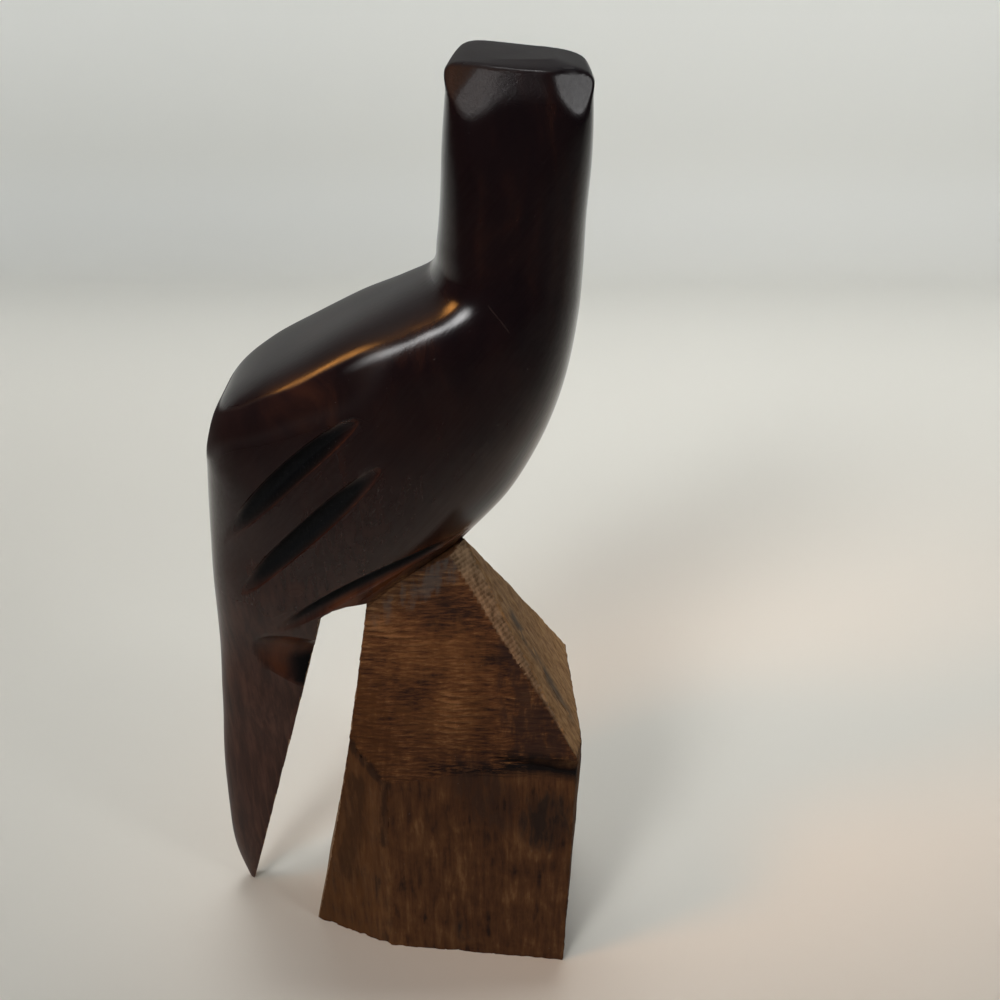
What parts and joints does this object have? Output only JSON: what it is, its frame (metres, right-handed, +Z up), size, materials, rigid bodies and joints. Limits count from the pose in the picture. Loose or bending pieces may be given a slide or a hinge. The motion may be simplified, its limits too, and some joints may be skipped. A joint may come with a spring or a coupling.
{
  "type": "wooden eagle carving",
  "caption": "Carved dark wood eagle on a rough block plinth, made in one piece, with a flat crown, a turned head, filed wing feathers and a tail sawn free of the plinth.",
  "frame": {"origin": "centre of the plinth's underside, on the table", "axes": "+Z up, the breast faces +X, the head is turned to look along +Y"},
  "size_m": [0.077, 0.049, 0.1819],
  "materials": {
    "dark_desert_wood": "sanded and polished on the bird, raw and rasped on the plinth"
  },
  "bodies": {
    "root": {"eagle_carving": "dark_desert_wood"}
  },
  "joints": []
}
